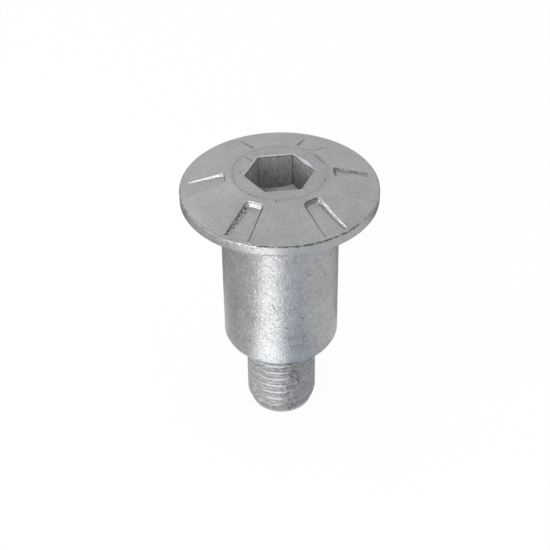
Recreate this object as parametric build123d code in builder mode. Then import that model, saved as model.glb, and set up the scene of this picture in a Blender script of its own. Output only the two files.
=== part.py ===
"""Side stand bolt: a shoulder bolt that a motorcycle's side stand turns on.

One forged and turned steel piece. It stands on its threaded end, with the
origin in the middle of that end face and +Z towards the head. The first of
the head's pockets is centred on +X. Lengths are in millimetres.
"""
from build123d import *
from math import atan2, cos, radians, sin, sqrt, tan
import os

# Head
head_diameter = 26.6
head_height = 3.85
rim_height = 1.5
rim_edge_round = 0.15
land_diameter = 12.6

# Shoulder that the stand turns on
shoulder_diameter = 16.0
shoulder_length = 23.25
shoulder_chamfer_width = 0.4
shoulder_chamfer_length = 0.8
head_fillet = 0.4

# Threaded end, M10 x 1.25, a plain cylinder over the crests
thread_diameter = 9.85
thread_length = 12.4
thread_end_width = 0.65
thread_end_length = 1.75
thread_end_fillet = 1.5
relief_diameter = 8.2
relief_length = 2.0
relief_fillet = 0.9

# Hexagon socket for an 8 mm key
socket_across_flats = 8.1
socket_depth = 5.3
socket_point_angle = 120.0
socket_turn = 2.0
lead_in_diameter = 9.9
lead_in_angle = 120.0

# Pockets forged into the head's slope, with their widths taken at the floor
pocket_land_gap = 1.05
pocket_rim_gap = 0.4
pocket_inner_width = 1.86
pocket_outer_width = 3.24
pocket_inner_depth = 0.72
pocket_outer_depth = 0.42
pocket_run_out = 0.9
pocket_end_bow = 0.12
pocket_corner_radius = 0.35
pocket_draft = 32.0
pocket_floor_fillet = 0.12
pocket_side_lift = 0.25
pocket_far_lift = 0.38

# Heights of the faces above the threaded end
shoulder_base = thread_length
shoulder_top = shoulder_base + shoulder_length
rim_top = shoulder_top + rim_height
head_top = shoulder_top + head_height

# Radii
head_radius = head_diameter / 2
land_radius = land_diameter / 2
shoulder_radius = shoulder_diameter / 2
shoulder_end_radius = shoulder_radius - shoulder_chamfer_width
thread_radius = thread_diameter / 2
thread_end_radius = thread_radius - thread_end_width
relief_radius = relief_diameter / 2

# Slope of the head's top, from the rim up to the land
slope_fall = (head_top - rim_top) / (head_radius - land_radius)


def slope_height(radius):
    """Height of the head's sloping top at a distance from the axis."""
    return rim_top + (head_radius - radius) * slope_fall


# Pocket floor: u runs down it from the pocket's inner end, v runs across it
pocket_start = land_radius + pocket_land_gap
pocket_end = head_radius - pocket_rim_gap
floor_start_height = slope_height(pocket_start) - pocket_inner_depth
floor_end_height = slope_height(pocket_end) - pocket_outer_depth
floor_slope = atan2(floor_start_height - floor_end_height, pocket_end - pocket_start)
floor_plane = Plane(
    origin=(pocket_start, 0, floor_start_height),
    x_dir=(cos(floor_slope), 0, -sin(floor_slope)),
    z_dir=(sin(floor_slope), 0, cos(floor_slope)),
)
floor_length = (pocket_end - pocket_start) / cos(floor_slope)

# Run-out: a cone that lifts the floor to the slope at the pocket's outer end
run_out_start = pocket_end - pocket_run_out
run_out_rise = slope_height(pocket_end) - slope_height(run_out_start) + pocket_outer_depth
run_out_slope = run_out_rise / pocket_run_out
run_out_axis_height = slope_height(pocket_end) - run_out_slope * pocket_end
run_out_rim_height = slope_height(pocket_end) + run_out_slope * (head_radius - pocket_end)

# Pocket tool: one pocket's space, widening upwards from its floor
with BuildPart() as pocket_tool:
    with BuildSketch(floor_plane) as floor_outline:
        with BuildLine():
            inner_low = (0, -pocket_inner_width / 2)
            inner_high = (0, pocket_inner_width / 2)
            outer_low = (floor_length, -pocket_outer_width / 2)
            outer_high = (floor_length, pocket_outer_width / 2)
            ThreePointArc(inner_low, (-pocket_end_bow, 0), inner_high)
            Polyline(inner_high, outer_high, outer_low, inner_low)
        make_face()
        inner_corners = floor_outline.vertices().sort_by(Axis.X)[:2]
        fillet(inner_corners, pocket_corner_radius)
    extrude(amount=pocket_inner_depth + pocket_outer_depth, taper=-pocket_draft)
    pocket_floor = pocket_tool.faces().sort_by(Axis(floor_plane.origin, floor_plane.z_dir))[0]
    fillet(pocket_floor.edges(), pocket_floor_fillet)
    with BuildSketch(Plane.XZ):
        with BuildLine():
            Polyline(
                (0, run_out_axis_height),
                (head_radius, run_out_rim_height),
                (head_radius, head_top + head_height),
                (0, head_top + head_height),
                close=True,
            )
        make_face()
    revolve(axis=Axis.Z, mode=Mode.INTERSECT)

# Socket tool: a hexagonal bar, a drill's point below it and a wide conical mouth
socket_corner_radius = socket_across_flats / sqrt(3)
point_slope = 1 / tan(radians(socket_point_angle / 2))
point_height = head_top - socket_depth - socket_across_flats / 2 * point_slope
lead_in_radius = lead_in_diameter / 2
lead_in_depth = lead_in_radius / tan(radians(lead_in_angle / 2))
with BuildPart() as socket_tool:
    with BuildSketch(Plane.XY.offset(point_height)):
        RegularPolygon(socket_corner_radius, 6, rotation=socket_turn)
    extrude(amount=head_top - point_height)
    with BuildSketch(Plane.XZ):
        with BuildLine():
            Polyline(
                (0, point_height),
                (socket_corner_radius, point_height + socket_corner_radius * point_slope),
                (socket_corner_radius, head_top),
                (0, head_top),
                close=True,
            )
        make_face()
    revolve(axis=Axis.Z, mode=Mode.INTERSECT)
    with BuildSketch(Plane.XZ):
        with BuildLine():
            Polyline(
                (0, head_top - lead_in_depth),
                (lead_in_radius, head_top),
                (0, head_top),
                close=True,
            )
        make_face()
    revolve(axis=Axis.Z)

# Places of the pockets, anticlockwise from +X: the die sat deepest on the -Y side
pocket_lifts = (
    pocket_side_lift,
    pocket_far_lift,
    pocket_far_lift,
    pocket_side_lift,
    0,
    0,
)
pocket_pitch = 360 / len(pocket_lifts)
pocket_places = [
    Location((0, 0, lift), (0, 0, pocket_pitch * number))
    for number, lift in enumerate(pocket_lifts)
]

# The bolt: one turned section, then the pockets and the socket
with BuildPart() as side_stand_bolt:
    with BuildSketch(Plane.XZ) as half_section:
        with BuildLine():
            Polyline(
                (0, 0),
                (thread_end_radius, 0),
                (thread_radius, thread_end_length),
                (thread_radius, shoulder_base - relief_length),
                (relief_radius, shoulder_base - relief_length + thread_radius - relief_radius),
                (relief_radius, shoulder_base),
                (shoulder_end_radius, shoulder_base),
                (shoulder_radius, shoulder_base + shoulder_chamfer_length),
                (shoulder_radius, shoulder_top),
                (head_radius, shoulder_top),
                (head_radius, rim_top),
                (land_radius, head_top),
                (0, head_top),
                close=True,
            )
        make_face()
        under_head = half_section.vertices().sort_by_distance((shoulder_radius, shoulder_top))[0]
        fillet(under_head, head_fillet)
        thread_start = (thread_radius, thread_end_length)
        thread_corner = half_section.vertices().sort_by_distance(thread_start)[0]
        fillet(thread_corner, thread_end_fillet)
        relief_corner = half_section.vertices().sort_by_distance((relief_radius, shoulder_base))[0]
        fillet(relief_corner, relief_fillet)
        rim_corners = half_section.vertices().group_by(Axis.X)[-1]
        fillet(rim_corners, rim_edge_round)
    revolve(axis=Axis.Z)
    with Locations(*pocket_places):
        add(pocket_tool.part, mode=Mode.SUBTRACT)
    add(socket_tool.part, mode=Mode.SUBTRACT)

os.makedirs("parts", exist_ok=True)
side_stand_bolt.part.label = "side_stand_bolt"
export_step(side_stand_bolt.part, "parts/side_stand_bolt.step")
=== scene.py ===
import bpy
from math import atan2, cos, hypot, pi, radians, sin, tan
from mathutils import Matrix, Vector


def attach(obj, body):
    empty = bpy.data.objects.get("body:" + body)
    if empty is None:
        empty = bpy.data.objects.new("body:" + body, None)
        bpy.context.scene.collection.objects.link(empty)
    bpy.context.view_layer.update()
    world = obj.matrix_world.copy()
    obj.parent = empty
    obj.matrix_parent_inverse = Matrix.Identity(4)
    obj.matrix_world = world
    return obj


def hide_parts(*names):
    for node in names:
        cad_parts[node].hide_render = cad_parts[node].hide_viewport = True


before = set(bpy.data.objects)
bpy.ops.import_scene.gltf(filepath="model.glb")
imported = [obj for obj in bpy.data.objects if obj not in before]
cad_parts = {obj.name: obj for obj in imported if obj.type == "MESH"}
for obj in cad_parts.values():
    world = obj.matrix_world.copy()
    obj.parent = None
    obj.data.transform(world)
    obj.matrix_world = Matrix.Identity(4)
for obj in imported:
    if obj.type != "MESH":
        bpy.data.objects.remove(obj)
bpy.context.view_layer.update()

# Bolt blank: one piece of forged steel, upset into a wide head and then turned
# all over, so its rim, shoulder and thread stem run true with the axis
MM = 0.001
SEAM = 1e-7
TURN_STEPS = 180
HEAD_RADIUS = 13.3
HEAD_TOP = 39.5
RIM_TOP = 37.15
LAND_RADIUS = 6.3
SHOULDER_TOP = 35.65
SHOULDER_RADIUS = 8.0
CHAMFER_RADIUS = 7.6
CHAMFER_TOP = 13.2
SHOULDER_BASE = 12.4
RELIEF_RADIUS = 4.1
RELIEF_BASE = 11.225
THREAD_TOP = 10.4
THREAD_RADIUS = 4.925
TIP_TOP = 1.75
TIP_RADIUS = 4.275


def pick(bolt_part, mode, chosen):
    """Leave the part in edit mode with only the chosen vertices or edges picked."""
    bpy.ops.object.mode_set(mode="EDIT")
    bpy.ops.mesh.select_mode(type=mode)
    bpy.ops.mesh.select_all(action="DESELECT")
    bpy.ops.object.mode_set(mode="OBJECT")
    items = bolt_part.data.vertices if mode == "VERT" else bolt_part.data.edges
    for item in items:
        item.select = chosen(item)
    bpy.ops.object.mode_set(mode="EDIT")


def middle(bolt_part, edge):
    """Middle of an edge, in millimetres."""
    ends = [bolt_part.data.vertices[number].co for number in edge.vertices]
    return (ends[0] + ends[1]) / 2 / MM


def alone(*chosen):
    """Select the chosen pieces and nothing else, with the last of them active."""
    bpy.ops.object.select_all(action="DESELECT")
    for piece in chosen:
        piece.select_set(True)
        bpy.context.view_layer.objects.active = piece


def placed(piece):
    """Bake a piece's place and turn into its mesh."""
    alone(piece)
    bpy.ops.object.transform_apply(location=True, rotation=True, scale=True)


def closed_up():
    """Join up the seams of the part in edit mode and turn its faces outwards."""
    bpy.ops.mesh.select_all(action="SELECT")
    bpy.ops.mesh.remove_doubles(threshold=SEAM)
    bpy.ops.mesh.fill_holes(sides=0)
    bpy.ops.mesh.select_all(action="SELECT")
    bpy.ops.mesh.normals_make_consistent(inside=False)
    bpy.ops.object.mode_set(mode="OBJECT")


def round_corner(line, radius, height, size, segments):
    """Round off the line's corner that is nearest to a radius and height."""
    spot = Vector((radius, 0, height)) * MM
    nearest = min(line.data.vertices, key=lambda v: (v.co - spot).length).index
    pick(line, "VERT", lambda v: v.index == nearest)
    bpy.ops.mesh.bevel(offset=size * MM, segments=segments, affect="VERTICES")
    bpy.ops.object.mode_set(mode="OBJECT")


def drawn_line(name, corners):
    """A line in the XZ plane, from corner to corner.

    A corner is a radius and a height, with a round's radius and segments where it has one.
    """
    places = [corner[:2] for corner in corners]
    alone()
    bpy.ops.mesh.primitive_plane_add(size=MM, location=(0, 0, 0))
    line = bpy.context.object
    line.name = name
    bpy.ops.object.mode_set(mode="EDIT")
    bpy.ops.mesh.select_mode(type="VERT")
    bpy.ops.mesh.merge(type="CENTER")
    bpy.ops.transform.translate(value=(places[0][0] * MM, 0, places[0][1] * MM))
    for (r_from, z_from), (r_to, z_to) in zip(places, places[1:]):
        step = ((r_to - r_from) * MM, 0, (z_to - z_from) * MM)
        bpy.ops.mesh.extrude_region_move(TRANSFORM_OT_translate={"value": step})
    bpy.ops.object.mode_set(mode="OBJECT")
    for number, corner in enumerate(corners):
        if len(corner) > 2:
            round_radius, segments = corner[2:]
            here = Vector(places[number])
            before = Vector(places[number - 1])
            after = Vector(places[(number + 1) % len(places)])
            half = (before - here).angle(after - here) / 2
            round_corner(line, here.x, here.y, round_radius / tan(half), segments)
    return line


def turned(name, corners):
    """A closed solid turned about the bolt's axis from a line of corners."""
    solid = drawn_line(name, corners)
    bpy.ops.object.mode_set(mode="EDIT")
    bpy.ops.mesh.select_all(action="SELECT")
    bpy.ops.mesh.spin(steps=TURN_STEPS, angle=2 * pi, center=(0, 0, 0), axis=(0, 0, 1))
    closed_up()
    return solid


bolt = turned(
    "bolt",
    [
        (0, 0),
        (TIP_RADIUS, 0, 0.1, 2),
        (THREAD_RADIUS, TIP_TOP, 1.5, 5),
        (THREAD_RADIUS, THREAD_TOP, 0.1, 2),
        (RELIEF_RADIUS, RELIEF_BASE),
        (RELIEF_RADIUS, SHOULDER_BASE, 0.9, 6),
        (CHAMFER_RADIUS, SHOULDER_BASE, 0.12, 3),
        (SHOULDER_RADIUS, CHAMFER_TOP, 0.25, 3),
        (SHOULDER_RADIUS, SHOULDER_TOP, 0.4, 5),
        (HEAD_RADIUS, SHOULDER_TOP, 0.18, 4),
        (HEAD_RADIUS, RIM_TOP, 0.15, 4),
        (LAND_RADIUS, HEAD_TOP, 1.2, 4),
        (0, HEAD_TOP),
    ],
)

# Head pockets: six shallow recesses struck into the slope with the head, each
# with drafted walls, a filleted floor and a run-out before the rim
POCKET_LIFTS = (0.25, 0.38, 0.38, 0.25, 0, 0)
POCKET_START = LAND_RADIUS + 1.05
POCKET_END = HEAD_RADIUS - 0.4
POCKET_BOW = 0.12
POCKET_DRAFT = radians(32)
INNER_HALF = 0.93
OUTER_HALF = 1.62
INNER_DEPTH = 0.72
OUTER_DEPTH = 0.42
RUN_OUT = 0.9
WALL = 1.0
BOX = 2.0
BOW_ROUND = 0.6
CORNER_ROUND = 0.4
FOOT_ROUND = 0.12
SLOPE_FALL = (HEAD_TOP - RIM_TOP) / (HEAD_RADIUS - LAND_RADIUS)
floor_top = HEAD_TOP - (POCKET_START - LAND_RADIUS) * SLOPE_FALL - INNER_DEPTH
floor_low = HEAD_TOP - (POCKET_END - LAND_RADIUS) * SLOPE_FALL - OUTER_DEPTH
floor_tilt = atan2(floor_top - floor_low, POCKET_END - POCKET_START)
floor_length = hypot(POCKET_END - POCKET_START, floor_top - floor_low)
alone()
bpy.ops.mesh.primitive_cube_add(size=BOX * MM, location=(0, 0, 0))
pocket = bpy.context.object
pocket.name = "pocket_punch"
bpy.ops.object.mode_set(mode="EDIT")
bpy.ops.mesh.select_all(action="SELECT")
bpy.ops.transform.translate(value=(BOX / 2 * MM, 0, BOX / 2 * MM))
bpy.ops.object.mode_set(mode="OBJECT")

# the box becomes the pocket's space, wider at its outer end and towards the top
flare = WALL * tan(POCKET_DRAFT)
side_lean = atan2(OUTER_HALF - INNER_HALF, floor_length)
for at_outer_end in (False, True):
    for at_top in (False, True):
        u = floor_length if at_outer_end else 0.0
        half = OUTER_HALF if at_outer_end else INNER_HALF
        if at_top:
            growth = flare if at_outer_end else -flare
            u += growth
            half += growth * tan(side_lean) + flare / cos(side_lean)
        pick(pocket, "VERT", lambda v: (v.co.x > MM) == at_outer_end and (v.co.z > MM) == at_top)
        start = BOX if at_outer_end else 0.0
        rise = WALL - BOX if at_top else 0.0
        bpy.ops.transform.resize(value=(1, half, 1))
        bpy.ops.transform.translate(value=((u - start) * MM, 0, rise * MM))
        bpy.ops.object.mode_set(mode="OBJECT")

# its inner end bows out, its two inner corners are rounded, then its floor's edge
pick(pocket, "EDGE", lambda e: middle(pocket, e).x < 1.0 and abs(middle(pocket, e).y) < 0.01)
bpy.ops.mesh.subdivide(number_cuts=1)
bpy.ops.object.mode_set(mode="OBJECT")
pick(pocket, "VERT", lambda v: v.co.x < MM and abs(v.co.y) < 0.01 * MM)
bpy.ops.transform.translate(value=(-POCKET_BOW * MM, 0, 0))
bpy.ops.mesh.select_mode(type="EDGE")
bpy.ops.mesh.bevel(offset=BOW_ROUND * MM, segments=4, affect="EDGES")
bpy.ops.object.mode_set(mode="OBJECT")
pick(
    pocket,
    "EDGE",
    lambda e: middle(pocket, e).x < 1.0
    and abs(middle(pocket, e).y) > 0.9
    and 0.3 < middle(pocket, e).z < 0.7,
)
bpy.ops.mesh.bevel(offset=CORNER_ROUND * MM, segments=4, affect="EDGES")
bpy.ops.object.mode_set(mode="OBJECT")
pick(pocket, "EDGE", lambda e: middle(pocket, e).z < 0.001)
bpy.ops.mesh.bevel(offset=FOOT_ROUND * MM, segments=3, affect="EDGES")
bpy.ops.object.mode_set(mode="OBJECT")

# it is laid along the slope and ends in a run-out, then each place gets a copy
pocket.rotation_euler = (0, floor_tilt, 0)
pocket.location = (POCKET_START * MM, 0, floor_top * MM)
placed(pocket)
run_out_slope = (OUTER_DEPTH - RUN_OUT * SLOPE_FALL) / RUN_OUT
slope_at_end = HEAD_TOP - (POCKET_END - LAND_RADIUS) * SLOPE_FALL
clear_radius = HEAD_RADIUS + 1
clear_height = HEAD_TOP + 2
run_out_cone = turned(
    "run_out_cone",
    [
        (0, slope_at_end - run_out_slope * POCKET_END),
        (clear_radius, slope_at_end + run_out_slope * (clear_radius - POCKET_END)),
        (clear_radius, clear_height),
        (0, clear_height),
    ],
)


def cut(bolt_part, tool, operation="DIFFERENCE"):
    """Cut the part with a tool's shape, or keep what they share, and clear the tool away."""
    alone(bolt_part)
    boolean = bolt_part.modifiers.new("cut", "BOOLEAN")
    boolean.operation = operation
    boolean.solver = "EXACT"
    boolean.object = tool
    bpy.ops.object.modifier_apply(modifier=boolean.name)
    bpy.data.objects.remove(tool, do_unlink=True)


cut(pocket, run_out_cone, "INTERSECT")
punches = [pocket]
for number in range(1, len(POCKET_LIFTS)):
    alone(pocket)
    bpy.ops.object.duplicate()
    punch = bpy.context.object
    punch.rotation_euler = (0, 0, 2 * pi * number / len(POCKET_LIFTS))
    punches.append(punch)
for punch, lift in zip(punches, POCKET_LIFTS):
    punch.location = (0, 0, lift * MM)
    placed(punch)
alone(*punches, pocket)
bpy.ops.object.join()
cut(bolt, pocket)

# Key socket: a hexagon broached for an 8 mm key, 8.1 mm across its flats, into
# a drilled hole whose point is its bottom. Its mouth has a narrow chamfer, and on
# one side the edge of a countersink that the drill cut a little off centre.
SOCKET_FLAT = 8.1 / 2
SOCKET_CORNER = SOCKET_FLAT / cos(radians(30))
SOCKET_FOOT = HEAD_TOP - 5.3
SOCKET_TURN = radians(2.9)
SOCKET_CORNER_ROUND = 0.06
PUNCH_LENGTH = 9
PUNCH_MIDDLE = 4.3
CONE_FLARE = tan(radians(60))
MOUTH_DEPTH = 0.17
LEAD_IN_RADIUS = 3.7
LEAD_IN_EAST = 0.76
LEAD_IN_NORTH = 0.42
DRILL_RADIUS = 5.2
socket_point = SOCKET_FOOT - SOCKET_FLAT / CONE_FLARE
alone()
bpy.ops.mesh.primitive_cylinder_add(
    vertices=6,
    radius=SOCKET_CORNER * MM,
    depth=PUNCH_LENGTH * MM,
    location=(0, 0, (socket_point + PUNCH_MIDDLE) * MM),
    rotation=(0, 0, SOCKET_TURN - radians(30)),
)
hexagon = bpy.context.object
hexagon.name = "hexagon_punch"
placed(hexagon)
pick(hexagon, "EDGE", lambda e: middle(hexagon, e).to_2d().length > SOCKET_CORNER - 0.01)
bpy.ops.mesh.bevel(offset=SOCKET_CORNER_ROUND * MM, segments=2, affect="EDGES")
bpy.ops.object.mode_set(mode="OBJECT")
drill_point = turned(
    "drill_point",
    [
        (0, socket_point),
        (DRILL_RADIUS, socket_point + DRILL_RADIUS / CONE_FLARE),
        (DRILL_RADIUS, clear_height),
        (0, clear_height),
    ],
)
cut(hexagon, drill_point, "INTERSECT")
cut(bolt, hexagon)
alone()
bpy.ops.mesh.primitive_cone_add(
    vertices=6,
    radius1=(SOCKET_CORNER - 1) * MM,
    radius2=(SOCKET_CORNER + 1) * MM,
    depth=2 * MM,
    location=(0, 0, (HEAD_TOP - MOUTH_DEPTH) * MM),
    rotation=(0, 0, SOCKET_TURN - radians(30)),
)
mouth = bpy.context.object
mouth.name = "mouth_chamfer"
placed(mouth)
cut(bolt, mouth)
lead_in = turned(
    "lead_in",
    [
        (0, HEAD_TOP - LEAD_IN_RADIUS / CONE_FLARE),
        (LEAD_IN_RADIUS + CONE_FLARE, HEAD_TOP + 1),
        (0, HEAD_TOP + 1),
    ],
)
lead_in.location = (LEAD_IN_EAST * MM, LEAD_IN_NORTH * MM, 0)
placed(lead_in)
cut(bolt, lead_in)

# Thread: M10 x 1.25, right-hand, rolled into the stem up to the relief under
# the shoulder. One groove with rounded root and crests is cut along the helix.
PITCH = 1.25
THREAD_TURNS = 10
HELIX_STEPS = 90
GROOVE_START = -0.85
ROOT_RADIUS = 4.32
ROOT_HALF = 0.105
ROOT_ROUND = 0.05
CREST_RADIUS = THREAD_RADIUS - 0.01
CREST_HALF = ROOT_HALF + (CREST_RADIUS - ROOT_RADIUS) * tan(radians(30))
CREST_ROUND = 0.03
LIP_RADIUS = THREAD_RADIUS + 0.02
LIP = 0.045
OUTSIDE = THREAD_RADIUS + 0.6
groove = drawn_line(
    "thread_groove",
    [
        (ROOT_RADIUS, GROOVE_START - ROOT_HALF),
        (ROOT_RADIUS, GROOVE_START + ROOT_HALF),
        (CREST_RADIUS, GROOVE_START + CREST_HALF),
        (LIP_RADIUS, GROOVE_START + CREST_HALF + LIP),
        (OUTSIDE, GROOVE_START + CREST_HALF + LIP),
        (OUTSIDE, GROOVE_START - CREST_HALF - LIP),
        (LIP_RADIUS, GROOVE_START - CREST_HALF - LIP),
        (CREST_RADIUS, GROOVE_START - CREST_HALF),
    ],
)
bpy.ops.object.mode_set(mode="EDIT")
bpy.ops.mesh.select_all(action="SELECT")
bpy.ops.mesh.edge_face_add()
bpy.ops.object.mode_set(mode="OBJECT")
round_corner(groove, ROOT_RADIUS, GROOVE_START - ROOT_HALF, ROOT_ROUND, 2)
round_corner(groove, ROOT_RADIUS, GROOVE_START + ROOT_HALF, ROOT_ROUND, 2)
round_corner(groove, CREST_RADIUS, GROOVE_START + CREST_HALF, CREST_ROUND, 2)
round_corner(groove, CREST_RADIUS, GROOVE_START - CREST_HALF, CREST_ROUND, 2)
screw = groove.modifiers.new("helix", "SCREW")
screw.axis = "Z"
screw.angle = 2 * pi
screw.screw_offset = PITCH * MM
screw.iterations = THREAD_TURNS
screw.steps = screw.render_steps = HELIX_STEPS
screw.use_merge_vertices = False
bpy.ops.object.modifier_apply(modifier=screw.name)
bpy.ops.object.mode_set(mode="EDIT")
closed_up()
cut(bolt, groove)

# Struck and broached edges: the plating and the wear leave none of them sharp,
# so the mouths of the pockets and the socket's edges get a small round
SLIVER = 0.004
EDGE_ROUND = 0.07
SHARP_ANGLE = radians(25)
POCKET_MOUTH_END = 12.1
pick(bolt, "EDGE", lambda e: True)
bpy.ops.mesh.remove_doubles(threshold=SLIVER * MM)
bpy.ops.mesh.dissolve_degenerate(threshold=SLIVER * MM)
bpy.ops.mesh.select_all(action="DESELECT")
bpy.ops.mesh.edges_select_sharp(sharpness=SHARP_ANGLE)
bpy.ops.object.mode_set(mode="OBJECT")
sharp = {e.index for e in bolt.data.edges if e.select and middle(bolt, e).z > SOCKET_FOOT - 0.2}
pick(bolt, "EDGE", lambda e: e.index in sharp and middle(bolt, e).to_2d().length < POCKET_MOUTH_END)
bpy.ops.mesh.bevel(
    offset=EDGE_ROUND * MM, segments=3, affect="EDGES", clamp_overlap=False, loop_slide=False
)
bpy.ops.object.mode_set(mode="OBJECT")

# Surface: the steel as it leaves the lathe and the punches, smooth over every
# round and fillet and crisp only where the metal is. It is the whole bolt, one
# rigid piece, in the place of the plain solid.
CRISP_ANGLE = radians(28)
alone(bolt)
bpy.ops.object.shade_smooth_by_angle(angle=CRISP_ANGLE)
weighted = bolt.modifiers.new("weighted", "WEIGHTED_NORMAL")
weighted.keep_sharp = True
bpy.ops.object.modifier_apply(modifier=weighted.name)
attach(bolt, "root")
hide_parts("side_stand_bolt")

# Plating: dull zinc, electroplated in a barrel over the forged and turned steel.
# Finely grained and grey, bluer on the smooth lead-in, and marked where the bolts
# knocked against each other. Painted shade darkens corners, creases and some walls,
# and painted light brightens other walls
COAT_DARK = (0.295, 0.301, 0.304, 1)
COAT_LIGHT = (0.445, 0.45, 0.453, 1)
# bare metal, also used as painted light on some walls and on the socket's point
BARE_AND_PAINTED_LIGHT = (0.6, 0.61, 0.62, 1)
COAT_BLUE = (0.56, 0.585, 0.62, 1)
COAT_ROLLED = (0.52, 0.525, 0.53, 1)
COAT_RUBBED = (0.22, 0.225, 0.23, 1)
# a darker blue for the painted shade on the shoulder's chamfer
CHAMFER_SHADE = (0.3, 0.32, 0.36, 1)
WALL_DARK = (0.27, 0.27, 0.27, 1)
WALL_LIGHT = (0.5, 0.5, 0.5, 1)
# near black, for real soot and flecks and for painted shade alike
SOOT_AND_SHADE = (0.035, 0.033, 0.03, 1)
METAL = 0.96


def linked(tree, kind, inputs, **settings):
    """A shader node, its inputs filled from other nodes' sockets or with plain values."""
    made = tree.nodes.new(kind)
    for name, value in settings.items():
        setattr(made, name, value)
    for name, value in inputs.items():
        if isinstance(value, bpy.types.NodeSocket):
            tree.links.new(value, made.inputs[name])
        else:
            made.inputs[name].default_value = value
    return made


def calc(tree, operation, *values):
    """A sum, product or other plain calculation on shader values."""
    return linked(tree, "ShaderNodeMath", dict(enumerate(values)), operation=operation).outputs[0]


def chained(tree, operation, first, *others):
    """The same calculation run through a list of shader values."""
    for other in others:
        first = calc(tree, operation, first, other)
    return first


def turned_to(tree, around, degrees):
    """How far a side is turned to a direction round the axis: 1 towards it, -1 away."""
    return calc(tree, "COSINE", calc(tree, "SUBTRACT", around, radians(degrees)))


def band(tree, value, low, high):
    """A soft step from 0 at low to 1 at high, or falling where low is the larger."""
    falls = low > high
    step = linked(
        tree,
        "ShaderNodeMapRange",
        {
            "Value": value,
            "From Min": min(low, high),
            "From Max": max(low, high),
            "To Min": float(falls),
            "To Max": float(not falls),
        },
        interpolation_type="SMOOTHSTEP",
    )
    return step.outputs["Result"]


def cloud(tree, spot, scale, detail, rough=0.5, distortion=0.0):
    """Cloudy noise over the metal, its scale in spots per millimetre."""
    noise = linked(
        tree,
        "ShaderNodeTexNoise",
        {
            "Vector": spot,
            "Scale": scale,
            "Detail": detail,
            "Roughness": rough,
            "Distortion": distortion,
        },
    )
    return noise.outputs["Fac"]


def tint(tree, share, first, second):
    """A colour between two, by a share from 0 to 1."""
    mixed = linked(tree, "ShaderNodeMix", {0: share, 6: first, 7: second}, data_type="RGBA")
    return mixed.outputs[2]


def nick(tree, spot, start, end, width):
    """Mask of a knock or scratch from start to end, in millimetres, with soft edges."""
    start, end = Vector(start), Vector(end)
    way = end - start
    away = linked(tree, "ShaderNodeVectorMath", {0: spot, 1: start}, operation="SUBTRACT")
    along = linked(
        tree,
        "ShaderNodeVectorMath",
        {0: away.outputs["Vector"], 1: way / way.length_squared},
        operation="DOT_PRODUCT",
    )
    share = linked(tree, "ShaderNodeClamp", {"Value": along.outputs["Value"]})
    nearest = linked(
        tree,
        "ShaderNodeVectorMath",
        {0: way, "Scale": share.outputs["Result"]},
        operation="SCALE",
    )
    gap = linked(
        tree,
        "ShaderNodeVectorMath",
        {0: away.outputs["Vector"], 1: nearest.outputs["Vector"]},
        operation="DISTANCE",
    )
    return band(tree, gap.outputs["Value"], width * 0.8, width * 0.2)


zinc = bpy.data.materials.new("zinc_plating")
zinc.use_nodes = True
coat = zinc.node_tree
shader = coat.nodes["Principled BSDF"]
texture_place = coat.nodes.new("ShaderNodeTexCoord").outputs["Object"]
in_millimetres = linked(
    coat, "ShaderNodeMapping", {"Vector": texture_place, "Scale": (1 / MM, 1 / MM, 1 / MM)}
)
spot = in_millimetres.outputs["Vector"]
wobble = linked(coat, "ShaderNodeTexNoise", {"Vector": spot, "Scale": 2.2, "Detail": 3.0})
centred = linked(
    coat,
    "ShaderNodeVectorMath",
    {0: wobble.outputs["Color"], 1: (0.5, 0.5, 0.5)},
    operation="SUBTRACT",
)
ragged = linked(
    coat,
    "ShaderNodeVectorMath",
    {0: centred.outputs["Vector"], 1: (0.45, 0.45, 0.45), 2: spot},
    operation="MULTIPLY_ADD",
).outputs["Vector"]


def from_axis(tree, place):
    """Distance from the axis, angle around it and height, of a place in millimetres."""
    parts = linked(tree, "ShaderNodeSeparateXYZ", {"Vector": place})
    east, north, height = parts.outputs["X"], parts.outputs["Y"], parts.outputs["Z"]
    squares = calc(tree, "MULTIPLY_ADD", east, east, calc(tree, "MULTIPLY", north, north))
    return calc(tree, "SQRT", squares), calc(tree, "ARCTAN2", north, east), height


radius, around, height = from_axis(coat, spot)
ragged_radius, _, ragged_height = from_axis(coat, ragged)

# grain of the deposit, from fine crystals to clouds
fine = cloud(coat, spot, 7.0, 2.0)
grain = cloud(coat, spot, 3.0, 3.0, 0.6)
blotches = cloud(coat, spot, 1.3, 3.0, 0.6)
clouds = cloud(coat, spot, 0.3, 3.0, 0.55)
flecks = cloud(coat, spot, 2.6, 4.0, 0.7, 1.2)

# where the bolt's faces are
on_slope = chained(
    coat,
    "MULTIPLY",
    band(coat, radius, LAND_RADIUS + 0.15, LAND_RADIUS + 0.3),
    band(coat, radius, HEAD_RADIUS - 0.15, HEAD_RADIUS - 0.25),
    band(coat, height, RIM_TOP - 0.95, RIM_TOP - 0.75),
)
on_land = band(coat, height, HEAD_TOP - 0.2, HEAD_TOP - 0.1)
below_slope = calc(
    coat,
    "SUBTRACT",
    HEAD_TOP + LAND_RADIUS * SLOPE_FALL,
    calc(coat, "MULTIPLY_ADD", radius, SLOPE_FALL, height),
)
in_pocket = calc(coat, "MULTIPLY", on_slope, band(coat, below_slope, 0.06, 0.16))
from_lead_in = linked(
    coat,
    "ShaderNodeVectorMath",
    {0: spot, 1: (LEAD_IN_EAST, LEAD_IN_NORTH, 0)},
    operation="SUBTRACT",
).outputs["Vector"]
lead_in_place, _, _ = from_axis(coat, from_lead_in)
below_lead_in = calc(
    coat,
    "SUBTRACT",
    HEAD_TOP - LEAD_IN_RADIUS / CONE_FLARE,
    calc(coat, "MULTIPLY_ADD", lead_in_place, -1 / CONE_FLARE, height),
)
flats = []
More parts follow.
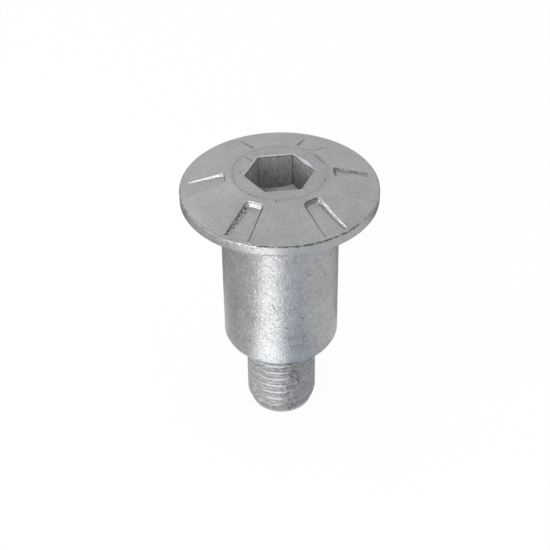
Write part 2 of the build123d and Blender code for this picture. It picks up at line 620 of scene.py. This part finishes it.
for number in range(3):
    lean = SOCKET_TURN + radians(30 + 60 * number)
    flat_side = (cos(lean), sin(lean), 0)
    out = linked(coat, "ShaderNodeVectorMath", {0: spot, 1: flat_side}, operation="DOT_PRODUCT")
    flats.append(calc(coat, "ABSOLUTE", out.outputs["Value"]))
to_flat = chained(coat, "MAXIMUM", *flats)
in_socket = calc(
    coat,
    "MULTIPLY",
    band(coat, to_flat, SOCKET_FLAT + 0.05, SOCKET_FLAT + 0.02),
    band(coat, height, socket_point - 0.9, socket_point - 0.4),
)
on_lead_in = chained(
    coat,
    "MULTIPLY",
    band(coat, radius, LAND_RADIUS - 0.7, LAND_RADIUS - 0.8),
    band(coat, height, HEAD_TOP - 0.01, HEAD_TOP - 0.04),
    band(coat, height, HEAD_TOP - 0.9, HEAD_TOP - 0.7),
    calc(coat, "SUBTRACT", 1.0, in_socket),
)
above_point = calc(
    coat, "SUBTRACT", calc(coat, "MULTIPLY_ADD", radius, -1 / CONE_FLARE, height), socket_point
)
on_point = calc(coat, "MULTIPLY", in_socket, band(coat, above_point, 0.12, 0.04))
on_walls = calc(coat, "SUBTRACT", in_socket, on_point)
on_thread = calc(
    coat,
    "MULTIPLY",
    band(coat, height, SHOULDER_BASE - 0.1, SHOULDER_BASE - 0.3),
    band(coat, radius, THREAD_RADIUS + 0.475, THREAD_RADIUS + 0.275),
)
on_shoulder = calc(
    coat,
    "MULTIPLY",
    band(coat, height, SHOULDER_BASE - 0.1, SHOULDER_BASE + 0.2),
    band(coat, height, SHOULDER_TOP + 0.25, SHOULDER_TOP - 0.15),
)
turned_faces = calc(coat, "MAXIMUM", on_thread, on_shoulder)

# painted shade in the pockets, where the walls meet the floor and on one wall, and
# painted light on two walls. The pockets are named by the side that they point to,
# with east at +X and the front at the camera's side
in_one_pocket = calc(coat, "WRAP", around, radians(30), radians(-30))
across = calc(coat, "MULTIPLY", radius, calc(coat, "SINE", in_one_pocket))
out_along = calc(coat, "MULTIPLY", radius, calc(coat, "COSINE", in_one_pocket))
foot_line = calc(
    coat,
    "MULTIPLY_ADD",
    out_along,
    tan(side_lean),
    INNER_HALF - POCKET_START * tan(side_lean),
)
past_foot = calc(coat, "SUBTRACT", calc(coat, "ABSOLUTE", across), foot_line)
on_wall = calc(coat, "MULTIPLY", in_pocket, band(coat, past_foot, -0.2, -0.05))
clockwise_half = band(coat, across, 0.0, -0.4)
to_east = turned_to(coat, around, 0)
to_west = turned_to(coat, around, 180)
east_pocket = band(coat, to_east, 0.8, 0.9)
west_pocket = band(coat, to_west, 0.8, 0.9)
front_pocket = band(coat, turned_to(coat, around, -120), 0.8, 0.9)
# painted shade: a thin dark line along the walls' feet, in every pocket but the west one
thin_foot = chained(
    coat,
    "MULTIPLY",
    band(coat, past_foot, -0.16, -0.04),
    band(coat, past_foot, 0.16, 0.04),
    band(coat, to_west, 0.8, 0.6),
)
# painted highlight: the west pocket's clockwise wall made lighter in sparkles
wall_painted_highlight = chained(
    coat, "MULTIPLY", on_wall, clockwise_half, west_pocket, band(coat, flecks, 0.36, 0.46)
)
# painted light: the front pocket's clockwise wall, which lies in shade, is made lighter
front_wall_light_and_shade = chained(coat, "MULTIPLY", on_wall, clockwise_half, front_pocket)
# painted shade: a ragged dark band along the foot of the front pocket's clockwise wall
ragged_foot = chained(
    coat,
    "MULTIPLY",
    band(coat, cloud(coat, spot, 3.6, 3.0, 0.6, 0.8), 0.47, 0.56),
    band(coat, past_foot, -0.42, -0.12),
    clockwise_half,
    front_pocket,
    0.8,
)
torn_wall = chained(
    coat,
    "MULTIPLY",
    on_wall,
    band(coat, across, 0.0, 0.4),
    east_pocket,
    band(coat, cloud(coat, spot, 1.5, 3.0, 0.6, 0.8), 0.44, 0.52),
)
# painted shade: a dark line along the mouth of that same wall
mouth_line = chained(coat, "MULTIPLY", front_wall_light_and_shade, band(coat, below_slope, 0.26, 0.16), 0.7)
# all the painted shade in the pockets together
pocket_painted_shade = calc(
    coat,
    "MULTIPLY",
    in_pocket,
    chained(coat, "MAXIMUM", calc(coat, "MULTIPLY", thin_foot, 0.45), ragged_foot, mouth_line),
)
# painted shade: a dark line on the pockets' inner end walls, left off one side of the east pocket
step_left_unshaded = calc(coat, "MULTIPLY", east_pocket, band(coat, across, 0.45, 0.15))
step_painted_shade = chained(
    coat,
    "MULTIPLY",
    on_slope,
    calc(coat, "SUBTRACT", 1.0, step_left_unshaded),
    band(coat, below_slope, 0.12, 0.16),
    band(coat, below_slope, 0.24, 0.19),
    band(coat, radius, POCKET_START + 0.85, POCKET_START + 0.65),
    0.8,
)

# a dark ring round the land, and painted shade along the rim's edge and in the thread's root
ring = chained(
    coat,
    "MULTIPLY",
    band(coat, ragged_radius, LAND_RADIUS - 0.22, LAND_RADIUS - 0.06),
    band(coat, ragged_radius, LAND_RADIUS + 0.16, LAND_RADIUS),
    band(coat, height, HEAD_TOP - 0.3, HEAD_TOP - 0.2),
    band(coat, blotches, 0.35, 0.6),
    0.24,
)
soft_ring = chained(
    coat,
    "MULTIPLY",
    band(coat, ragged_radius, LAND_RADIUS - 0.45, LAND_RADIUS - 0.05),
    band(coat, ragged_radius, LAND_RADIUS + 0.3, LAND_RADIUS),
    band(coat, height, HEAD_TOP - 0.3, HEAD_TOP - 0.2),
    0.14,
)
ring = calc(coat, "MAXIMUM", ring, soft_ring)
turning_place = linked(coat, "ShaderNodeCombineXYZ", {"X": ragged_radius}).outputs["Vector"]
turning = chained(
    coat,
    "MULTIPLY",
    band(coat, cloud(coat, turning_place, 4.0, 2.0), 0.5, 0.7),
    on_land,
    band(coat, blotches, 0.35, 0.6),
    calc(coat, "MULTIPLY_ADD", band(coat, to_east, 0.6, 0.9), 0.25, 0.12),
)
# painted shade along the rim's top edge, stronger on one side and broken by noise
rim_shade_breaks = cloud(coat, spot, 0.9, 4.0, 0.7)
rim_painted_shade = chained(
    coat,
    "MULTIPLY",
    band(coat, radius, HEAD_RADIUS - 0.24, HEAD_RADIUS - 0.16),
    band(coat, ragged_height, RIM_TOP - 0.12, RIM_TOP - 0.04),
    calc(coat, "MAXIMUM", band(coat, turned_to(coat, around, -72), 0.7, 0.85), 0.4),
    band(coat, rim_shade_breaks, 0.4, 0.52),
    0.75,
)
# painted shade: a darker line in the thread's root
root = chained(
    coat,
    "MULTIPLY",
    on_thread,
    band(coat, radius, ROOT_RADIUS + 0.28, ROOT_RADIUS - 0.12),
    band(coat, height, 0.3, 0.6),
    0.2,
)
# painted shade: a thin dark line along the rim's lower edge, on the side towards the camera
low_line = chained(
    coat,
    "MULTIPLY",
    band(coat, radius, HEAD_RADIUS - 0.2, HEAD_RADIUS - 0.1),
    band(coat, ragged_height, SHOULDER_TOP + 0.05, SHOULDER_TOP + 0.15),
    band(coat, ragged_height, SHOULDER_TOP + 0.4, SHOULDER_TOP + 0.25),
    band(coat, turned_to(coat, around, -108), 0.93, 0.965),
    0.4,
)
rough_patch = chained(
    coat,
    "MULTIPLY",
    band(coat, radius, HEAD_RADIUS - 0.4, HEAD_RADIUS - 0.2),
    band(coat, ragged_height, SHOULDER_TOP + 0.85, SHOULDER_TOP + 1.15),
    band(coat, turned_to(coat, around, -116), 0.975, 0.99),
)
chips = calc(coat, "MULTIPLY", rough_patch, band(coat, cloud(coat, spot, 2.2, 3.0, 0.6), 0.5, 0.58))
# painted shade: dark patches on the side of the thread turned away from the key light
thread_painted_shade = chained(
    coat,
    "MULTIPLY",
    on_thread,
    band(coat, turned_to(coat, around, -74), 0.96, 0.99),
    band(coat, cloud(coat, spot, 1.2, 4.0, 0.7, 0.6), 0.5, 0.62),
    0.6,
)

# marks of single knocks and scratches: their two ends and their width, on the head as
# seen from above and on the shoulder in all three directions
HEAD_MARKS = [
    ((-0.94, -6.37), (-0.9, -6.37), 0.2),
    ((5.84, -2.36), (5.8, -2.3), 0.22),
    ((-5.25, -3.48), (-5.2, -3.45), 0.14),
    ((-6.05, -1.48), (-6.0, -1.6), 0.14),
    ((-4.28, -4.58), (-4.1, -4.65), 0.13),
    ((-5.08, 0.51), (-5.05, 0.4), 0.16),
    ((3.47, 5.19), (5.37, 5.27), 0.11),
    ((5.37, 5.27), (6.33, 6.63), 0.11),
    ((6.33, 6.63), (7.55, 7.72), 0.09),
    ((-4.14, 3.97), (-3.41, 2.95), 0.12),
    ((5.06, 3.59), (6.1, 1.6), 0.12),
    ((7.49, 1.08), (7.34, 0.3), 0.13),
    ((7.34, 0.3), (7.47, -0.33), 0.1),
    ((8.7, 1.3), (8.74, 0.75), 0.12),
    ((9.0, 1.15), (9.16, 0.55), 0.07),
    ((9.62, 1.35), (9.66, 1.0), 0.14),
    ((10.2, 1.3), (10.6, 1.15), 0.16),
    ((10.6, 1.15), (11.9, 0.9), 0.08),
]
SHOULDER_MARKS = [
    ((-1.76, -7.8, 23.41), (-1.24, -7.9, 22.4), 0.11),
    ((0.1, -8.0, 19.45), (0.5, -8.0, 19.2), 0.16),
    ((2.1, -7.72, 20.8), (2.5, -7.6, 20.6), 0.16),
]
from_above = linked(
    coat, "ShaderNodeVectorMath", {0: ragged, 1: (1, 1, 0)}, operation="MULTIPLY"
).outputs["Vector"]
head_marks = chained(
    coat,
    "MAXIMUM",
    *[nick(coat, from_above, (*start, 0), (*end, 0), width) for start, end, width in HEAD_MARKS],
)
shoulder_marks = chained(coat, "MAXIMUM", *[nick(coat, ragged, *mark) for mark in SHOULDER_MARKS])
pits = calc(
    coat,
    "MAXIMUM",
    calc(coat, "MULTIPLY", head_marks, band(coat, height, RIM_TOP - 0.15, RIM_TOP - 0.05)),
    shoulder_marks,
)
scatter = linked(
    coat, "ShaderNodeTexVoronoi", {"Vector": ragged, "Scale": 0.55}, feature="F1"
).outputs["Distance"]
pits = calc(coat, "MAXIMUM", pits, calc(coat, "MULTIPLY", band(coat, scatter, 0.06, 0.03), 0.5))

# stains and wear, painted light and shade in the socket and on the chamfer, and all the dirt and
# painted shade together
fleck_share = calc(
    coat,
    "MULTIPLY_ADD",
    rough_patch,
    0.6,
    calc(coat, "MULTIPLY_ADD", turned_faces, 0.26, 0.14),
)
dark_flecks = calc(coat, "MULTIPLY", fleck_share, band(coat, flecks, 0.46, 0.34))
light_flecks = calc(coat, "MULTIPLY", fleck_share, band(coat, flecks, 0.56, 0.68))
vein = calc(coat, "SUBTRACT", cloud(coat, spot, 1.7, 2.0, 0.5, 1.5), 0.5)
curls = chained(
    coat,
    "MULTIPLY",
    turned_faces,
    band(coat, calc(coat, "ABSOLUTE", vein), 0.035, 0.008),
    band(coat, cloud(coat, spot, 1.1, 3.0, 0.6, 0.5), 0.46, 0.6),
    0.4,
)
crest_wear = chained(
    coat,
    "MULTIPLY",
    on_thread,
    band(coat, radius, THREAD_RADIUS - 0.225, THREAD_RADIUS - 0.125),
    band(coat, cloud(coat, spot, 1.6, 2.0, 0.6, 0.8), 0.42, 0.56),
    0.4,
)
# painted light and shade on the socket's point: lighter on its east side, darker on its west side
east = linked(coat, "ShaderNodeSeparateXYZ", {"Vector": ragged}).outputs["X"]
point_painted_light = calc(coat, "MULTIPLY", on_point, band(coat, east, -1.2, 0.8))
point_painted_shade = chained(coat, "MULTIPLY", on_point, band(coat, east, -0.6, -2.8), 0.5)
stain = chained(
    coat,
    "MULTIPLY",
    on_land,
    band(coat, to_east, 0.2, 0.8),
    band(coat, clouds, 0.3, 0.6),
    0.07,
)
# painted shade: a darker blue band on the shoulder's chamfer
chamfer_painted_shade = calc(
    coat,
    "MULTIPLY",
    band(coat, height, SHOULDER_BASE - 0.1, SHOULDER_BASE + 0.1),
    band(coat, height, CHAMFER_TOP, CHAMFER_TOP - 0.4),
)
# painted shade in the socket's corners, darker on one side
corner_shade = linked(
    coat,
    "ShaderNodeMapRange",
    {
        "Value": turned_to(coat, around, 63),
        "From Min": 0.6,
        "From Max": 0.9,
        "To Min": 0.3,
        "To Max": 0.6,
    },
).outputs["Result"]
corner = chained(
    coat,
    "MULTIPLY",
    on_walls,
    band(coat, radius, SOCKET_CORNER - 0.077, SOCKET_CORNER - 0.037),
    corner_shade,
)
wall_height = HEAD_TOP - MOUTH_DEPTH
# painted shade along the top of the socket's walls and where the lead-in meets them
wall_top_painted_shade = chained(
    coat,
    "MULTIPLY",
    on_walls,
    calc(
        coat,
        "MAXIMUM",
        band(coat, ragged_height, wall_height - 0.25, wall_height - 0.1),
        band(coat, below_lead_in, 0.2, 0.1),
    ),
    0.5,
)
# real pits, turning marks and stains, together with painted shade in corners, creases and on shaded
# sides
dirt_and_painted_shade = chained(
    coat,
    "MAXIMUM",
    pocket_painted_shade,
    step_painted_shade,
    ring,
    rim_painted_shade,
    root,
    corner,
    wall_top_painted_shade,
    point_painted_shade,
    turning,
    thread_painted_shade,
    low_line,
    stain,
    calc(coat, "MULTIPLY", pits, 0.7),
)

# colour: the cloudy coat first, then what lies over it, layer by layer
wall_place = linked(
    coat, "ShaderNodeMapping", {"Vector": spot, "Rotation": (0.9, 0.5, 0.3), "Scale": (1, 1, 0.35)}
).outputs["Vector"]
wall_scratches = band(coat, cloud(coat, wall_place, 3.0, 4.0, 0.65), 0.35, 0.65)
wall_colour = tint(coat, wall_scratches, WALL_DARK, WALL_LIGHT)
tone = chained(
    coat,
    "ADD",
    calc(coat, "MULTIPLY", clouds, 0.25),
    calc(coat, "MULTIPLY", blotches, 0.2),
    calc(coat, "MULTIPLY", fine, 0.55),
)
colour = tint(coat, band(coat, tone, 0.3, 0.7), COAT_DARK, COAT_LIGHT)
# among the layers are painted light on pocket walls and the socket's point, painted shade on the
# chamfer, and painted shade within the dirt
for share, strength, layer in (
    (dark_flecks, 1.0, SOOT_AND_SHADE),
    (curls, 1.0, SOOT_AND_SHADE),
    (wall_painted_highlight, 0.6, BARE_AND_PAINTED_LIGHT),
    (front_wall_light_and_shade, 0.9, BARE_AND_PAINTED_LIGHT),
    (torn_wall, 0.8, BARE_AND_PAINTED_LIGHT),
    (chips, 0.8, BARE_AND_PAINTED_LIGHT),
    (on_thread, 0.3, COAT_ROLLED),
    (band(coat, ragged_height, 0.8, 0.4), 0.5, COAT_BLUE),
    (crest_wear, 1.0, COAT_RUBBED),
    (light_flecks, 1.0, BARE_AND_PAINTED_LIGHT),
    (on_lead_in, 0.8, COAT_BLUE),
    (on_walls, 0.75, wall_colour),
    (point_painted_light, 0.45, BARE_AND_PAINTED_LIGHT),
    (chamfer_painted_shade, 0.5, CHAMFER_SHADE),
    (dirt_and_painted_shade, 1.0, SOOT_AND_SHADE),
):
    colour = tint(coat, calc(coat, "MULTIPLY", share, strength), colour, layer)
coat.links.new(colour, shader.inputs["Base Color"])

# gloss: duller under the dirt and painted shade, in the socket and on the thread
roughness = linked(
    coat,
    "ShaderNodeMapRange",
    {"Value": blotches, "From Min": 0.3, "From Max": 0.7, "To Min": 0.28, "To Max": 0.42},
).outputs["Result"]
dull = chained(coat, "MAXIMUM", dirt_and_painted_shade, in_socket, on_thread)
coat.links.new(calc(coat, "MULTIPLY_ADD", dull, 0.2, roughness), shader.inputs["Roughness"])
metallic = calc(coat, "MULTIPLY_ADD", in_socket, -0.4, METAL)
coat.links.new(calc(coat, "MULTIPLY_ADD", torn_wall, -0.6, metallic), shader.inputs["Metallic"])

# relief, in millimetres: the grain stands up, the knocks and the ring are sunk
relief = chained(
    coat,
    "ADD",
    calc(coat, "MULTIPLY", grain, calc(coat, "MULTIPLY_ADD", turned_faces, 0.03, 0.03)),
    calc(coat, "MULTIPLY", blotches, calc(coat, "MULTIPLY_ADD", on_thread, 0.2, 0.02)),
    calc(coat, "MULTIPLY", dark_flecks, -0.02),
    calc(coat, "MULTIPLY", pits, -0.05),
    calc(coat, "MULTIPLY", chips, 0.05),
    calc(coat, "MULTIPLY", ring, -0.04),
)
bump = linked(coat, "ShaderNodeBump", {"Height": relief, "Strength": 1.0, "Distance": MM})
coat.links.new(bump.outputs["Normal"], shader.inputs["Normal"])
bolt.data.materials.append(zinc)

# Studio: a white table that the bolt stands on, in a white room. Soft boxes stand
# round it or lie on the table, and grey cards give the dull metal something to
# mirror. Places are taken from the camera's side, so that each stands where it shows.
FLOOR_SIZE = 4
FLOOR_PAINT = (0.85, 0.85, 0.85, 1)
FLOOR_GLOW = 0.94
ROOM_BRIGHTNESS = 0.96
VIEW_AZIMUTH = radians(-94.25)
alone()
bpy.ops.mesh.primitive_plane_add(size=FLOOR_SIZE, location=(0, 0, 0))
floor = bpy.context.object
floor.name = "floor"
floor_paint = bpy.data.materials.new("floor_paint")
floor_paint.use_nodes = True
paint = floor_paint.node_tree
table_top = paint.nodes["Principled BSDF"]
table_top.inputs["Base Color"].default_value = FLOOR_PAINT
table_top.inputs["Roughness"].default_value = 1.0
table_top.inputs["Specular IOR Level"].default_value = 0.0
glow = linked(paint, "ShaderNodeEmission", {"Strength": 1.0})
rays = linked(paint, "ShaderNodeLightPath", {}).outputs
seen = chained(
    paint, "MAXIMUM", rays["Is Camera Ray"], rays["Is Glossy Ray"], rays["Is Transmission Ray"]
)
glow_share = calc(paint, "MULTIPLY", seen, FLOOR_GLOW)
floor_look = linked(
    paint, "ShaderNodeMixShader", {0: glow_share, 1: table_top.outputs[0], 2: glow.outputs[0]}
)
paint.links.new(floor_look.outputs[0], paint.nodes["Material Output"].inputs["Surface"])
floor.data.materials.append(floor_paint)

world = bpy.data.worlds.new("studio")
world.use_nodes = True
room = world.node_tree.nodes["Background"]
room.inputs["Color"].default_value = (1, 1, 1, 1)
room.inputs["Strength"].default_value = ROOM_BRIGHTNESS
bpy.context.scene.world = world
bpy.context.scene.view_settings.view_transform = "Standard"


def from_camera_side(turn, distance, height):
    """A place around the bolt, its turn taken from the camera's side, to the left negative."""
    angle = VIEW_AZIMUTH + radians(turn)
    return Vector((distance * cos(angle), distance * sin(angle), height)) * MM


def level(turn):
    """The turn of something that lies flat, taken from the camera's side."""
    return Matrix.Rotation(VIEW_AZIMUTH + radians(turn), 3, "Z").to_quaternion()


def soft_box(name, turn, distance, height, width, tall, strength):
    """A soft box aimed at the bolt; strength is its brightness against white."""
    data = bpy.data.lights.new(name, "AREA")
    data.shape = "RECTANGLE"
    data.size = width * MM
    data.size_y = tall * MM
    data.energy = strength * pi * data.size * data.size_y
    light = bpy.data.objects.new(name, data)
    bpy.context.collection.objects.link(light)
    light.location = from_camera_side(turn, distance, height)
    light.rotation_mode = "QUATERNION"
    light.rotation_quaternion = (Vector((0, 0, 0.025)) - light.location).to_track_quat("-Z", "Y")
    light.visible_camera = False
    return light


def low_panel(name, turn, distance, width, tall, strength, lie):
    """An oval panel that lies just above the table and shines upwards."""
    panel = soft_box(name, turn, distance, 1, width, tall, strength)
    panel.data.shape = "ELLIPSE"
    face_up = Matrix.Rotation(pi, 3, "X").to_quaternion()
    panel.rotation_quaternion = level(lie + 90) @ face_up


soft_box("key", -40, 220, 50, 90, 80, 3.6)
soft_box("left_light", -73, 220, 78, 60, 50, 10)
low_panel("low_panel", -21.5, 44, 21, 77, 1.5, lie=-22)
low_panel("rim_panel", -12, 60, 26, 34, 1.3, lie=-15)
soft_box("far_light", -24, 220, 116, 70, 70, 9)
soft_box("left_sky", -135, 220, 220, 160, 120, 0.28)


def grey_card(name, turn, distance, height, width, tall, tone, lie=None):
    """A card out of sight that the metal mirrors, upright unless it is given a way to lie."""
    alone()
    bpy.ops.mesh.primitive_plane_add(size=1, location=(0, 0, 0))
    card = bpy.context.object
    card.name = name
    card.scale = (width * MM, tall * MM, 1)
    card.location = from_camera_side(turn, distance, height)
    card.rotation_mode = "QUATERNION"
    if lie is None:
        axis_point = Vector((0, 0, height * MM))
        card.rotation_quaternion = (axis_point - card.location).to_track_quat("Z", "Y")
    else:
        card.rotation_quaternion = level(lie)
    card.visible_camera = False
    card.visible_diffuse = False
    card.visible_shadow = False
    card_paint = bpy.data.materials.new(name + "_paint")
    card_paint.use_nodes = True
    card_paint.node_tree.nodes["Principled BSDF"].inputs["Base Color"].default_value = (*tone, 1)
    card.data.materials.append(card_paint)


grey_card("right_flag", 55, 220, 60, 340, 170, (0.35, 0.35, 0.35))
grey_card("outline_card", 153, 44, 0.8, 52, 22, (0.45, 0.45, 0.45), lie=170)
grey_card("cool_card", 24, 44, 0.9, 84, 24, (0.65, 0.7, 0.8), lie=25)
grey_card("back_flag", 180, 230, 40, 260, 70, (0.78, 0.78, 0.78))
grey_card("low_card", -85, 50, 0.6, 56, 60, (0.5, 0.5, 0.5), lie=-85)
grey_card("back_card", 180, 112, 0.6, 180, 220, (0.25, 0.25, 0.25), lie=180)

# Camera: looking down on the bolt from the height and distance that it is seen
# from, with a long lens, and rolled by less than a degree
AIM = Vector((-0.754, 0.056, 22.236)) * MM
EYE = Vector((-11.293, -151.962, 143.788)) * MM
LENS = 91.8
ROLL = radians(-0.782)
camera_data = bpy.data.cameras.new("camera")
camera_data.lens = LENS
camera_data.clip_start = 0.01
camera = bpy.data.objects.new("camera", camera_data)
bpy.context.collection.objects.link(camera)
camera.location = EYE
camera.rotation_mode = "QUATERNION"
camera.rotation_quaternion = (AIM - EYE).to_track_quat("-Z", "Y")
camera.rotation_quaternion @= Matrix.Rotation(ROLL, 3, "Z").to_quaternion()
bpy.context.scene.camera = camera
